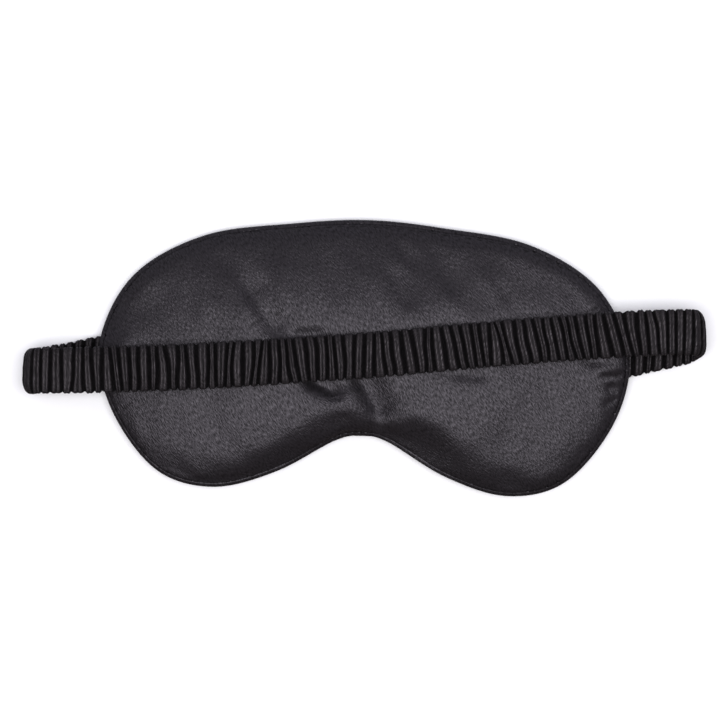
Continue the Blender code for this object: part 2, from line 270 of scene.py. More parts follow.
LIGHT_TINT = (0.97, 0.975, 1.0)
WALLS_DARK = (0.14, 0.105, 0.1, 1.0)  # the studio towards -Y
WALLS_PALE = (0.64, 0.64, 0.72, 1.0)  # and towards +Y
WALLS_BLEND = 0.7  # how far each way along Y the one passes into the other
FLOOR_DROP = 0.1 * MM
FLOOR_COLOUR = (0.93, 0.93, 0.93, 1.0)


def area_light(name, place, target, size, power, spin):
    """A rectangular light at place, aimed at target, and turned by spin degrees about its own axis."""
    light = bpy.data.lights.new(name, "AREA")
    light.shape = "RECTANGLE"
    light.size, light.size_y = size
    light.energy = power
    light.color = LIGHT_TINT
    obj = bpy.data.objects.new(name, light)
    obj.location = place
    obj.rotation_euler = (Vector(target) - Vector(place)).to_track_quat("-Z", "Y").to_euler()
    obj.rotation_euler.rotate_axis("Z", math.radians(spin))
    bpy.context.scene.collection.objects.link(obj)


def make_lights():
    """One large soft light overhead, and a studio that is darker towards -Y."""
    area_light(
        "overhead",
        place=(0.03, -0.125, 1.15),
        target=(0.03, 0, 0),
        size=(1.6, 0.64),
        power=15.9,
        spin=13,
    )
    world = bpy.data.worlds.new("studio")
    world.use_nodes = True
    nodes, links = world.node_tree.nodes, world.node_tree.links
    place = nodes.new("ShaderNodeTexCoord")
    parts = nodes.new("ShaderNodeSeparateXYZ")
    links.new(place.outputs["Generated"], parts.inputs["Vector"])
    glow = mapped(world, parts.outputs["Y"], (-WALLS_BLEND, WALLS_BLEND), (0.0, 1.0))
    walls = nodes.new("ShaderNodeMix")
    walls.data_type = "RGBA"
    walls.inputs[6].default_value = WALLS_DARK
    walls.inputs[7].default_value = WALLS_PALE
    links.new(glow, walls.inputs["Factor"])
    links.new(walls.outputs[2], nodes["Background"].inputs["Color"])
    bpy.context.scene.world = world
    bpy.context.scene.view_settings.view_transform = "Standard"


def make_floor():
    floor = new_mesh(
        "floor",
        [(-2, -2, 0), (2, -2, 0), (2, 2, 0), (-2, 2, 0)],
        [(0, 1, 2, 3)],
    )
    floor.location.z = FLOOR_Z - FLOOR_DROP
    material = bpy.data.materials.new("floor")
    material.use_nodes = True
    shader = material.node_tree.nodes["Principled BSDF"]
    shader.inputs["Base Color"].default_value = FLOOR_COLOUR
    shader.inputs["Roughness"].default_value = 0.9
    floor.data.materials.append(material)
    floor.visible_glossy = False


# ---------------------------------------------------------------- materials


SATIN_SPECULAR = 0.16
SATIN_METALLIC = 0.55
PANEL_COLOUR = (0.0232, 0.0209, 0.0238)
SLEEVE_COLOUR = (0.0252, 0.0220, 0.0240)
STREAK_SIZE = (0.47 * MM, 1.6 * MM)
STREAK_ANGLE = 34
STREAK_RANGE = (0.3, 0.7)  # the part of the noise's range that is used
STREAK_TONES = (0.45, 1.6)  # shares of the base colour, from the darkest streak to the palest
STREAK_ROUGHER = 0.13  # added to the roughness in the darkest streaks
STREAK_GLOSSIER = 0.11  # and taken from it in the palest
WEAVE_DEPTH = 0.2 * MM
# In the valleys of the ruched sleeve: the reliefs, and the roughness added from the one to the other.
DULL_RELIEF, DULL_ADDED = (0.6, 1.02), (0.66, 0.0)
# The same for painted shade: the share of the base colour left, least in the valleys and all of it on the
# rims, so that the groove between a pleat's two rims is darkened too.
PAINTED_SHADE_RELIEF, PAINTED_SHADE_LEFT = (0.62, 1.02), (0.2, 1.0)
FIBRE_TONES = (0.6, 1.3)


def satin(name, colour, roughness, ruched=False):
    """Satin: a dark ground with a soft gloss, and the fine slanting streaks of its weave. Ruched, it also
    has painted shade in its valleys and grooves.
    """
    material = bpy.data.materials.new(name)
    material.use_nodes = True
    nodes, links = material.node_tree.nodes, material.node_tree.links
    shader = nodes["Principled BSDF"]
    shader.inputs["Specular IOR Level"].default_value = SATIN_SPECULAR
    shader.inputs["Metallic"].default_value = SATIN_METALLIC

    place = nodes.new("ShaderNodeUVMap")
    place.uv_map = "flat"
    turn = nodes.new("ShaderNodeMapping")
    turn.vector_type = "TEXTURE"
    turn.inputs["Rotation"].default_value = (0.0, 0.0, math.radians(STREAK_ANGLE))
    turn.inputs["Scale"].default_value = (*STREAK_SIZE, 1.0)
    links.new(place.outputs["UV"], turn.inputs["Vector"])
    noise_node = nodes.new("ShaderNodeTexNoise")
    noise_node.inputs["Scale"].default_value = 1.0
    noise_node.inputs["Detail"].default_value = 1.5
    links.new(turn.outputs["Vector"], noise_node.inputs["Vector"])
    streaks = noise_node.outputs["Fac"]

    tone = mapped(material, streaks, STREAK_RANGE, STREAK_TONES)
    roughnesses = (roughness + STREAK_ROUGHER, roughness - STREAK_GLOSSIER)
    gloss = mapped(material, streaks, STREAK_RANGE, roughnesses)
    if ruched:
        relief = nodes.new("ShaderNodeAttribute")
        relief.attribute_name = "relief"
        dull = mapped(material, relief.outputs["Fac"], DULL_RELIEF, DULL_ADDED)
        gloss = joined(material, "ADD", gloss, dull)
        # Painted shade: the base colour darkened by relief, in the valleys and between each pleat's two
        # rims.
        painted_shade = mapped(material, relief.outputs["Fac"], PAINTED_SHADE_RELIEF, PAINTED_SHADE_LEFT)
        tone = joined(material, "MULTIPLY", tone, painted_shade)
    ground = nodes.new("ShaderNodeMix")
    ground.data_type = "RGBA"
    ground.blend_type = "MULTIPLY"
    ground.inputs["Factor"].default_value = 1.0
    ground.inputs[6].default_value = (*colour, 1.0)
    links.new(tone, ground.inputs[7])
    links.new(ground.outputs[2], shader.inputs["Base Color"])
    links.new(gloss, shader.inputs["Roughness"])
    add_bump(material, streaks, 1.0, WEAVE_DEPTH)
    return material


def fibrous(name, colour, roughness, size, specular):
    """Spun or matted fibres: a mottled, slightly rough ground, with fibres of the given size."""
    material = bpy.data.materials.new(name)
    material.use_nodes = True
    nodes, links = material.node_tree.nodes, material.node_tree.links
    shader = nodes["Principled BSDF"]
    shader.inputs["Roughness"].default_value = roughness
    shader.inputs["Specular IOR Level"].default_value = specular
    place = nodes.new("ShaderNodeTexCoord")
    fibres = nodes.new("ShaderNodeTexNoise")
    fibres.inputs["Scale"].default_value = 1 / size
    fibres.inputs["Detail"].default_value = 3.0
    fibres.inputs["Distortion"].default_value = 0.8
    links.new(place.outputs["Object"], fibres.inputs["Vector"])
    shade = nodes.new("ShaderNodeValToRGB")
    for element, position, tone in zip(shade.color_ramp.elements, STREAK_RANGE, FIBRE_TONES):
        element.position = position
        element.color = (*(tone * part for part in colour), 1.0)
    links.new(fibres.outputs["Fac"], shade.inputs["Fac"])
    links.new(shade.outputs["Color"], shader.inputs["Base Color"])
    add_bump(material, fibres.outputs["Fac"], 0.6, size / 4)
    return material


# ---------------------------------------------------------------- the pad


PITCH = 2.6 * MM  # spacing of the simulated cloth's points
RIM_INSETS = (0.0, 0.25 * MM, 0.6 * MM)  # extra rings of points along the seam
RIM_END = 1.15 * MM  # how far in the pattern's own edge points are drawn
RIM_GAP = 0.1 * MM  # half the gap between the two panels at the seam
SATIN = 0.4 * MM  # the cloth's thickness
FACE_ROLL = (2.4 * MM, 7.5 * MM)  # the panel's rounding over beside the seam: height and reach
UNDER_ROLL = (1.3 * MM, 3.2 * MM)
FACE_HEIGHT = PAD_TOP_Z - SEAM_Z - RIM_GAP - FACE_ROLL[0]
UNDER_DEPTH = SEAM_Z - FLOOR_Z - RIM_GAP - UNDER_ROLL[0]
FACE_FULLNESS = 0.85  # the lower, the sooner the padding reaches its height
UNDER_FULLNESS = 4.5  # the higher, the flatter the underside
SIM_FRAMES = 24
START_LIFT = 2.0 * MM  # how far apart the flat panels are drawn to start with
START_REACH = 20 * MM
RELAX_STEP = 0.6
EDGE_ROUNDS = 6  # rounds of smoothing beside the edge
INNER_ROUNDS = 14  # and further in
# Where the panel falls away more to its edge, in millimetres: middle, size, share lost and reach.
# A share below 0 holds it up.
SLACK_EDGES = (
    ((25.0, -38.0), 17.0, 0.62, 19.0),
    ((-29.0, -42.0), 14.0, 0.38, 12.0),
    ((-72.0, -50.0), 24.0, 0.3, 13.0),
    ((52.0, -53.0), 20.0, 0.3, 13.0),
    ((-6.0, -30.0), 8.0, -0.25, 8.0),
    ((9.5, -31.0), 7.0, 0.28, 10.0),
)


def flat_pattern():
    """The cut of one panel: points, triangles, and how many of the first points are its edge."""
    edge = full_outline(PITCH)
    low, high = edge.min(axis=0), edge.max(axis=0)
    rows = np.arange(low[1], high[1], PITCH * math.sqrt(3) / 2)
    grid = []
    for i, y in enumerate(rows):
        xs = np.arange(low[0] - PITCH * (i % 2) / 2, high[0], PITCH)
        grid.append(np.column_stack([xs, np.full(len(xs), y)]))
    grid = np.vstack(grid)
    grid = grid[inside(grid, edge)]
    grid = grid[nearest(grid, evenly(edge, PITCH / 4))[0] > PITCH * 0.75]
    points = np.vstack([edge, grid])
    count = len(edge)
    rim = [(i, (i + 1) % count) for i in range(count)]
    verts, _, faces, _, _, _ = delaunay_2d_cdt(
        [Vector(p) for p in points / MM], rim, [], 1, 1e-4
    )
    return np.array([tuple(v) for v in verts]) * MM, [tuple(f) for f in faces], count


def inflate(points, faces, count):
    """Sew two flat panels together along their edge and fill them, by a cloth simulation."""
    distance, _ = nearest(points, points[:count])
    lift = START_LIFT * smoothstep(distance / START_REACH)
    top = np.column_stack([points, lift])
    under = np.column_stack([points, -lift])[count:]
    shift = len(points) - count
    below = [tuple(i if i < count else i + shift for i in f)[::-1] for f in faces]
    pad = new_mesh("pad_cloth", np.vstack([top, under]), list(faces) + below)
    cloth = pad.modifiers.new("Cloth", "CLOTH")
    settings = cloth.settings
    settings.quality = 6
    settings.mass = 0.15
    settings.tension_stiffness = 25.0
    settings.compression_stiffness = 25.0
    settings.shear_stiffness = 8.0
    settings.bending_stiffness = 0.15
    settings.tension_damping = 8.0
    settings.compression_damping = 8.0
    settings.air_damping = 2.0
    settings.use_pressure = True
    settings.uniform_pressure_force = 4.0
    settings.effector_weights.gravity = 0.0
    cloth.collision_settings.use_collision = False
    cloth.point_cache.frame_start = 1
    cloth.point_cache.frame_end = SIM_FRAMES
    scene = bpy.context.scene
    for number in range(1, SIM_FRAMES + 1):
        scene.frame_set(number)
        bpy.context.view_layer.update()
    apply_modifiers(pad)
    made = coordinates(pad.data)
    scene.frame_set(1)
    bpy.data.objects.remove(pad)
    top = made[: len(points)]
    return top, np.vstack([top[:count], made[len(points) :]])


def neighbours(faces, total):
    """Pairs of points that share an edge, in both directions."""
    pairs = {(f[k], f[k - 1]) for f in faces for k in range(len(f))}
    pairs |= {(b, a) for a, b in pairs}
    pairs = np.array(sorted(pairs))
    return pairs[:, 0], pairs[:, 1], np.bincount(pairs[:, 0], minlength=total)


def relaxed(values, faces, rounds, fixed):
    """Values smoothed over a mesh, with the first fixed ones left as they are."""
    one, two, degree = neighbours(faces, len(values))
    values = values.copy()
    for _ in range(rounds):
        mean = np.zeros_like(values)
        np.add.at(mean, one, values[two])
        mean /= degree.reshape(-1, *[1] * (values.ndim - 1))
        values[fixed:] += RELAX_STEP * (mean - values)[fixed:]
    return values


def fitted(shape, points, count):
    """The simulated panel drawn back out, so that its edge lies on the true outline."""
    spread = points.max(axis=0) / shape[:, :2].max(axis=0)
    flat = shape[:, :2] * spread
    miss = points[:count] - flat[:count]
    near = 1 / (
        (points[:, 0][:, None] - points[:count, 0]) ** 2
        + (points[:, 1][:, None] - points[:count, 1]) ** 2
        + (1.5 * MM) ** 2
    ) ** 1.5
    near /= near.sum(axis=1)[:, None]
    flat += near @ miss
    flat[:count] = points[:count]
    return flat


def with_rim(points, faces, count):
    """The pattern with its edge points drawn in a little, and rings of faces added outside them."""
    edge = points[:count]
    inward = inward_normals(edge, 1)
    rings = [edge + inset * inward for inset in RIM_INSETS]
    moved = points.copy()
    moved[:count] = edge + RIM_END * inward
    first = len(points)
    added = []
    starts = [first + k * count for k in range(len(rings))] + [0]
    for a, b in zip(starts, starts[1:]):
        for i in range(count):
            j = (i + 1) % count
            added.append((a + i, a + j, b + j, b + i))
    return np.vstack([moved, *rings]), [tuple(f) for f in faces] + added


def rim_roll(distance, roll):
    """The rounded rise of a panel from its seam."""
    height, reach = roll
    share = np.clip(distance / reach, 0.0, 1.0)
    return height * np.sqrt(1 - (1 - share) ** 2)


def slack(points, distance):
    """The share of its height that the face panel keeps beside the slack parts of its edge."""
    kept = np.ones(len(points))
    for middle, size, lost, reach in SLACK_EDGES:
        gap = np.hypot(*(points / MM - middle).T)
        fall = 1 - smoothstep(distance / (reach * MM))
        kept -= lost * fall * np.exp(-((gap / size) ** 2))
    return kept


def along(points, a, b):
    """Each point's distance from the line a-b, its share of the way, and whether it is to the left."""
    a, b = np.array(a) * MM, np.array(b) * MM
    ahead = b - a
    share = ((points - a) @ ahead) / (ahead @ ahead)
    across = (points - a) @ (-ahead[1], ahead[0]) / math.hypot(*ahead)
    return np.abs(across), share, across > 0


# Soft creases and folds of the face panel, in millimetres: the two ends, half width and height. The last
# number is how many times wider the left side is than the right, seen from the first end.
CREASES = (
    ((-47.0, 26.5), (-34.0, 7.5), 3.8, -1.5, 2.2),
    ((-27.5, 7.2), (-16.0, 8.2), 2.8, -1.1, 1.0),
    ((-22.0, -9.5), (-9.5, -15.0), 3.4, -2.3, 2.2),
    ((-1.5, -7.5), (8.0, -22.5), 4.5, -3.3, 1.5),
    ((-10.5, -9.0), (-4.0, -24.0), 3.6, 0.8, 1.0),
    ((7.0, 51.0), (17.5, 36.5), 2.4, -0.5, 2.0),
    ((10.0, 33.0), (16.5, 21.0), 2.6, -0.5, 2.0),
    ((23.0, 46.0), (35.5, 25.0), 3.2, -0.65, 2.0),
    ((46.0, 41.0), (55.0, 26.0), 3.2, -0.4, 2.0),
    ((36.0, -5.8), (47.0, -6.2), 3.0, -0.7, 1.0),
    ((88.0, 0.8), (98.0, 0.6), 2.6, -0.6, 1.0),
    ((102.0, -4.5), (94.0, -5.5), 1.8, -0.6, 1.0),
    ((99.5, -9.0), (96.5, -10.5), 2.2, -0.55, 1.0),
    ((100.5, -14.0), (95.5, -16.5), 1.7, -0.5, 1.0),
)
STRAP_PRESS = 0.08 * MM  # how far the strap presses the panel down
STRAP_HALF_WIDTH = 7 * MM
STRAP_PRESS_FADE = 6 * MM
SOFT_FOLDS = 0.8 * MM
SOFT_FOLD_SIZE = 26.0 * MM
# Runs of stitch dimples: from and to X, step, distance from the edge and depth, in millimetres.
PUCKERS = {
    "top": ((-17.0, 77.0), 4.6, 2.4, -0.35),
    "bottom": ((-66.0, -30.0), 7.5, 2.2, -0.4),
}


def soft_fold(x, y):
    """The filling's broad unevenness, from about -1 to 1, drawn out along the slant of the creases."""
    along_slant = (0.5 * x - 0.87 * y) / (1.7 * SOFT_FOLD_SIZE)
    across_slant = (0.87 * x + 0.5 * y) / SOFT_FOLD_SIZE
    return noise.fractal(Vector((along_slant, across_slant, 3.7)), 0.8, 2.1, 3)


def strap_y(x):
    """Where the band's centre line lies at X, as in the CAD."""
    knots = []
    for side in ("left", "right"):
        y = STRAP_Y_MM[side]
        sign = SIDES[side]
        knots += [(sign * BAND_HALFWAY_X, y[3] * MM), (sign * TURN_X, y[2] * MM)]
    knots.append((0.0, 0.0))
    knots = np.array(sorted(knots))
    return np.interp(x, knots[:, 0], knots[:, 1])


SIDE_X = 104.2 * MM
MOUTH_WIDTH = 10.5 * MM
MOUTH_DEPTH = 16.0 * MM
MOUTH_LIFT = 1.6 * MM


def mouth(points):
    """How far the seam is parted round the strap's ends, from 0 to 1."""
    made = np.zeros(len(points))
    for side, sign in SIDES.items():
        across = (points[:, 1] - STRAP_Y_MM[side][0] * MM) / MOUTH_WIDTH
        inward = (SIDE_X - sign * points[:, 0]) / MOUTH_DEPTH
        made += np.exp(-(across**4)) * smoothstep(2 * (1 - inward))
    return made


def face_details(points):
    """What the creases, the soft folds and the strap add to the face panel's height."""
    made = np.zeros(len(points))
    for a, b, width, height, skew in CREASES:
        distance, share, left = along(points, a, b)
        fade = np.exp(-((np.clip(np.abs(share - 0.5) - 0.3, 0, None) / 0.35) ** 2))
        reach = width * MM * np.where(left, skew, 1.0)
        made += height * MM * np.exp(-((distance / reach) ** 2)) * fade
    made += SOFT_FOLDS * np.array([soft_fold(x, y) for x, y in points])
    gap = np.abs(points[:, 1] - strap_y(points[:, 0]))
    made -= STRAP_PRESS * (1 - smoothstep((gap - STRAP_HALF_WIDTH) / STRAP_PRESS_FADE))
    return made


def build_pad(materials):
    """The face and outer panels, and the flat pattern that they are made from."""
    points, faces, count = flat_pattern()
    shapes = inflate(points, faces, count)
    rimmed, rim_faces = with_rim(points, faces, count)
    from_edge, _ = nearest(points, evenly(points[:count], PITCH / 4))
    pieces = {}
    for name, shape, sign, height, roll in (
        ("face_panel", shapes[0], 1.0, FACE_HEIGHT, FACE_ROLL),
        ("outer_panel", shapes[1], -1.0, UNDER_DEPTH, UNDER_ROLL),
    ):
        flat = fitted(shape, points, count)
        rise = np.clip(sign * shape[:, 2], 0, None)
        rise[:count] = 0
        rough = relaxed(rise, faces, EDGE_ROUNDS, count)
        inner = smoothstep((from_edge - 6 * MM) / (10 * MM))
        rise = rough + (relaxed(rise, faces, INNER_ROUNDS, count) - rough) * inner
        rise /= rise.max()
        if sign > 0:
            rise = height * rise**FACE_FULLNESS
        else:
            rise = height * np.tanh(UNDER_FULLNESS * rise)
        flat_rim, _ = with_rim(flat, faces, count)
        tall = np.concatenate([rise, np.zeros(len(rimmed) - len(points))])
        co = np.column_stack([flat_rim, tall])
        obj = new_mesh(name, co, [f if sign > 0 else f[::-1] for f in rim_faces], rimmed)
        smooth = obj.modifiers.new("Smooth", "SUBSURF")
        smooth.levels = smooth.render_levels = 2 if sign > 0 else 1
        apply_modifiers(obj)
        co = coordinates(obj.data)
        edge = evenly(points[:count], PITCH / 8)
        distance, _ = nearest(co[:, :2], edge)
        lifted = co[:, 2] + rim_roll(distance, roll)
        if sign > 0:
            lifted *= slack(co[:, :2], distance)
        lifted += RIM_GAP
        lifted += MOUTH_LIFT * mouth(co[:, :2])
        if sign > 0:
            near_edge = smoothstep((distance - 0.5 * MM) / (4 * MM))
            lifted += face_details(co[:, :2]) * near_edge
            lifted += stitch_dimples(co[:, :2], distance)
        co[:, 2] = np.maximum(SEAM_Z + sign * lifted, FLOOR_Z)
        set_coordinates(obj.data, co)
        thicken(obj, SATIN, -1.0)
        obj.data.materials.append(materials[name])
        pieces[name] = obj
    return pieces, points, faces, count


def stitch_dimples(points, distance):
    """Small dimples at the stitches: the closed turning gap on top, and a short run at the bottom left."""
    made = np.zeros(len(points))
    for name, ((start, end), step, inset, depth) in PUCKERS.items():
        part = points[:, 1] > 10 * MM if name == "top" else points[:, 1] < -20 * MM
        part &= (points[:, 0] > start * MM) & (points[:, 0] < end * MM)
        wave = 0.5 - 0.5 * np.cos(2 * math.pi * (points[:, 0] / MM - start) / step)
        band = np.exp(-(((distance / MM - inset) / 1.2) ** 2))
        made += depth * MM * band * (0.35 + 0.65 * wave) * part
    return made


WADDING_INSET = 9.0 * MM
LINING_INSET = 8.5 * MM
LAYER_GAP = 0.25 * MM
LINING = 0.3 * MM  # the lining's thickness
ALLOWANCE_INSETS = (2.2 * MM, 4.5 * MM, 7.0 * MM)
ALLOWANCE_DROP = 1.5 * MM  # how much lower it lies under the strap's ends
ALLOWANCE = 2 * 0.22 * MM  # two layers of cloth


def surface(obj):
    """An object's mesh, for casting rays at."""
    mesh = obj.data
    return BVHTree.FromPolygons(
        [v.co for v in mesh.vertices], [tuple(p.vertices) for p in mesh.polygons]
    )


def skins(pads, places):
    """The heights of the two panels' inner surfaces over places in the plane."""
    found = []
    for name, up in (("face_panel", 1.0), ("outer_panel", -1.0)):
        tree = surface(pads[name])
        heights = []
        for x, y in places:
            hit = tree.ray_cast(Vector((x, y, SEAM_Z)), Vector((0, 0, up)))[0]
            heights.append(SEAM_Z if hit is None else hit.z)
        found.append(np.array(heights))
    return found


def inner_part(points, faces, count, inset):
    """The part of the pattern that lies further in than inset: its points and its faces."""
    distance, _ = nearest(points, evenly(points[:count], PITCH / 4))
    kept = np.flatnonzero(distance > inset)
    number = {int(old): new for new, old in enumerate(kept)}
    inner = [tuple(number[i] for i in f) for f in faces if all(i in number for i in f)]
    return points[kept], inner


def build_filling(pads, points, faces, count, materials):
    """The wadding and the blackout lining inside the pad."""
    places, inner = inner_part(points, faces, count, WADDING_INSET)
    top, low = skins(pads, places)
    top -= LAYER_GAP
    low = np.minimum(low + LINING + 3 * LAYER_GAP, top - LAYER_GAP)
    verts = np.vstack([np.column_stack([places, top]), np.column_stack([places, low])])
    shift = len(places)
    under = [tuple(i + shift for i in f)[::-1] for f in inner]
    border = {}
    for f in inner:
        for a, b in zip(f, f[1:] + f[:1]):
            border[(a, b)] = (b, a) not in border and border.get((a, b)) is None
            if (b, a) in border:
                border[(b, a)] = border[(a, b)] = False
    side = [(b, a, a + shift, b + shift) for (a, b), open_edge in border.items() if open_edge]
    wadding = new_mesh("wadding", verts, inner + under + side)
    wadding.data.materials.append(materials["wadding"])
    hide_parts("wadding_left", "wadding_right")
    bend_at_nose(wadding)

    places, inner = inner_part(points, faces, count, LINING_INSET)
    _, low = skins(pads, places)
    verts = np.column_stack([places, low + LAYER_GAP + LINING / 2])
    lining = new_mesh("blackout_lining", verts, inner, places)
    thicken(lining, LINING, 0.0)
    lining.data.materials.append(materials["lining"])
    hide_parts("blackout_lining_left", "blackout_lining_right")
    bend_at_nose(lining)


def thicken(obj, thickness, offset):
    """Give a cloth its thickness: inwards with offset -1, and to both sides with 0."""
    cloth = obj.modifiers.new("Cloth thickness", "SOLIDIFY")
    cloth.thickness = thickness
    cloth.offset = offset
    apply_modifiers(obj)
    obj.data.shade_smooth()


def build_allowance(points, count, materials):
    """The turned seam allowance: a flat strip inside the pad, all along the seam."""
    edge = points[:count]
    inward = inward_normals(edge, 2)
    rings = [edge + inset * inward for inset in ALLOWANCE_INSETS]
    places = np.vstack(rings)
    z = SEAM_Z - ALLOWANCE_DROP * mouth(places)
    faces = []
    for a in range(len(rings) - 1):
        for i in range(count):
            j = (i + 1) % count
            one, two = a * count, (a + 1) * count
            faces.append((one + i, one + j, two + j, two + i))
    strip = new_mesh("seam_allowance", np.column_stack([places, z]), faces, places)
    thicken(strip, ALLOWANCE, 0.0)
    strip.data.materials.append(materials["outer_panel"])
    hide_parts("seam_allowance_left", "seam_allowance_right")
    bend_at_nose(strip)


def wire(name, runs, radius, material):
    """Thread laid along runs of points, as round-ended tubes in one mesh."""
    curve = bpy.data.curves.new(name, "CURVE")
    curve.dimensions = "3D"
    curve.bevel_depth = radius
    curve.bevel_resolution = 2
    curve.use_fill_caps = True
    for run in runs:
        spline = curve.splines.new("POLY")
        spline.points.add(len(run) - 1)
        for point, place in zip(spline.points, run):
            point.co = (*place, 1.0)
    made = bpy.data.objects.new(name + "_curve", curve)
    bpy.context.scene.collection.objects.link(made)
    graph = bpy.context.evaluated_depsgraph_get()
    mesh = bpy.data.meshes.new_from_object(made.evaluated_get(graph))
    bpy.data.objects.remove(made)
    mesh.name = name
    obj = bpy.data.objects.new(name, mesh)
    bpy.context.scene.collection.objects.link(obj)
    mesh.shade_smooth()
    mesh.materials.clear()
    mesh.materials.append(material)
    return obj


TOPSTITCH_X = (-17.0 * MM, 77.0 * MM)
TOPSTITCH_STEP = 4.6 * MM
TOPSTITCH_INSET = 2.2 * MM
STITCH_LENGTH = 2.9 * MM
STITCH_DIP = 0.35 * MM  # how far a stitch's ends sink in
STITCH_LIFT = 0.12 * MM  # how far its middle stands over the cloth
THREAD_RADIUS = 0.16 * MM


def build_topstitch(pads, points, count, materials):
    """The small stitches that close the turning gap, along the top edge."""
    tree = surface(pads["face_panel"])
    edge = full_outline(0.4 * MM)
    upper = edge[edge[:, 1] > 10 * MM]
    upper = upper[np.argsort(upper[:, 0])]
    ahead = np.gradient(upper, axis=0)
    ahead /= np.hypot(ahead[:, 0], ahead[:, 1])[:, None]
    line = upper + TOPSTITCH_INSET * np.column_stack([ahead[:, 1], -ahead[:, 0]])
    runs = []
    start, end = TOPSTITCH_X
    for k in range(int((end - start) / TOPSTITCH_STEP) + 1):
        first = start + k * TOPSTITCH_STEP
        run = []
        for share in np.linspace(0, 1, 7):
            x = first + share * STITCH_LENGTH
            y = np.interp(x, line[:, 0], line[:, 1])
            hit = tree.ray_cast(Vector((x, y, 0.05)), Vector((0, 0, -1)))[0]
            dip = STITCH_DIP * (2 * share - 1) ** 4
            run.append((x, y, hit.z + STITCH_LIFT - dip))
        runs.append(run)
    stitches = wire("closing_topstitch", runs, THREAD_RADIUS, materials["thread"])
    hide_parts("closing_topstitch_left", "closing_topstitch_right")
    bend_at_nose(stitches)


# ---------------------------------------------------------------- the strap


PLEAT = 3.7 * MM  # the usual width of a pleat
RIDGE = 1.45 * MM  # and its height over the valleys
VALLEY_HALF_THICK = 0.7 * MM
VALLEY_HALF_WIDTH = 8.3 * MM
LEAST_PLEAT = 0.9 * MM
FULL_PLEAT = 2.6 * MM  # a narrower pleat is lower
PLEAT_WALL = ((0.3, 0.32), (0.62, 0.68), (0.88, 0.92))  # shares of a wall's width, and heights there
RIM_HEIGHT = 1.04  # a pleat's two rims, by the height of its top
ROUND_COUNT = 60  # points round the sleeve
SLEEVE_START = -3.2 * MM
ACROSS = np.linspace(-1, 1, 33)
CLOTH_RUN = 1.6  # length of cloth for each length of strap, in the weave's coordinates
SLEEVE_HALF_WIDTH = 9 * MM
END_ROUNDING = 1.7 * MM  # how much tighter the strap's edges turn over than its middle
END_SHEAR = {"left": 0.0, "right": -0.09}  # the turned end's slant, by the distance across


class StrapPath:
    """The strap's centre line on one side, by the length along it from the seam's pivot."""

    def __init__(self, side):
        self.side = side
        self.sign = SIDES[side]
        rise = math.atan2(TURN_Z - SEAM_Z, TURN_X - SEAM_PIVOT_X)
        reach = math.hypot(TURN_Z - SEAM_Z, TURN_X - SEAM_PIVOT_X)
        self.slope = rise - math.asin(TURN_RADIUS / reach)
        self.leg = math.sqrt(reach**2 - TURN_RADIUS**2)
        self.turn = TURN_RADIUS * (math.pi - self.slope)
        self.length = self.leg + self.turn + TURN_X
        y = STRAP_Y_MM[side]
        halfway = self.length - BAND_HALFWAY_X
        knots = [
            (0.0, y[0]),
            (self.leg / MM, y[1]),
            ((self.leg + self.turn) / MM, y[2]),
            (halfway / MM, y[3]),
            (self.length / MM, 0.0),
        ]
        self.lateral = smooth_points(knots, 12) * MM

    def at(self, s, inward, across):
        """Points at lengths s, offset inwards to the loop's inside and across the strap's width."""
        s = np.asarray(s, float)
        bent = np.clip(s - self.leg, 0, self.turn)
        angle = self.slope + bent / TURN_RADIUS
        angle = np.where(s < 0, 0.0, angle)
        leg = np.clip(s, 0, self.leg)
        band = np.clip(s - self.leg - self.turn, 0, None)
        on_turn = s > self.leg
        x = SEAM_PIVOT_X + np.minimum(s, 0) + leg * math.cos(self.slope)
        z = SEAM_Z + leg * math.sin(self.slope)
        x = np.where(on_turn, TURN_X + TURN_RADIUS * np.sin(angle) - band, x)
        z = np.where(on_turn, TURN_Z - TURN_RADIUS * np.cos(angle), z)
        turned = np.sin(np.clip(angle, 0, math.pi))
        inward = inward + END_ROUNDING * np.abs(across / SLEEVE_HALF_WIDTH) ** 5 * turned
        x = x - inward * np.sin(angle) + END_SHEAR[self.side] * across * turned
        z = z + inward * np.cos(angle)
        y = np.interp(s, self.lateral[:, 0], self.lateral[:, 1]) + across
        return np.stack([self.sign * x, y, z], axis=-1)

    def joint_lengths(self):
        """The length along the strap of each of its joints, from the seam to the band's last."""
        turns = [
            self.leg + TURN_RADIUS * (math.radians(90 + degrees) - self.slope)
            for degrees in TURN_JOINTS
        ]
        band = [self.length - x for x in BAND_JOINTS_X]
        return [0.0, *turns, *band]


def valleys(path, rng):
    """The sleeve's valleys between its pleats, each as a line of lengths across the strap."""
    turn_start, turn_end = path.leg, path.leg + path.turn
    right = path.side == "right"
    places = [SLEEVE_START]
    while places[-1] < path.length - 1.5 * PLEAT:
        places.append(places[-1] + PLEAT * rng.uniform(0.78, 1.24))
    places = np.array(places)
    last = path.length - PLEAT * 0.05
    places = SLEEVE_START + (places - SLEEVE_START) * (last - SLEEVE_START) / (
        places[-1] - SLEEVE_START + PLEAT
    )
    places = np.append(places, path.length)
    lines = []
    for s in places:
        out = smoothstep((s - turn_end) / (16 * MM))
        lean = (1.9 if right else -0.7) * MM * out
        if right:
            lean -= 0.7 * MM * smoothstep((s - turn_end - 60 * MM) / (50 * MM))
        loose = 0.25 + 0.75 * out if s > turn_start - 4 * MM else 0.4
        lean += rng.normal(0, 0.55) * MM * loose
        bow = rng.normal(0, 0.35) * MM * loose
        wave = rng.normal(0, 0.12) * MM * loose
        phase = rng.uniform(0, 2 * math.pi)
        still = smoothstep((path.length - s) / (9 * MM))
        line = lean * ACROSS + bow * (1 - ACROSS**2) + wave * np.sin(4 * ACROSS + phase)
        lines.append(s + line * still)
    lines = np.array(lines)
    for k in range(1, len(lines)):
        lines[k] = np.maximum(lines[k], lines[k - 1] + LEAST_PLEAT)
    lines[-1] = path.length
    return lines


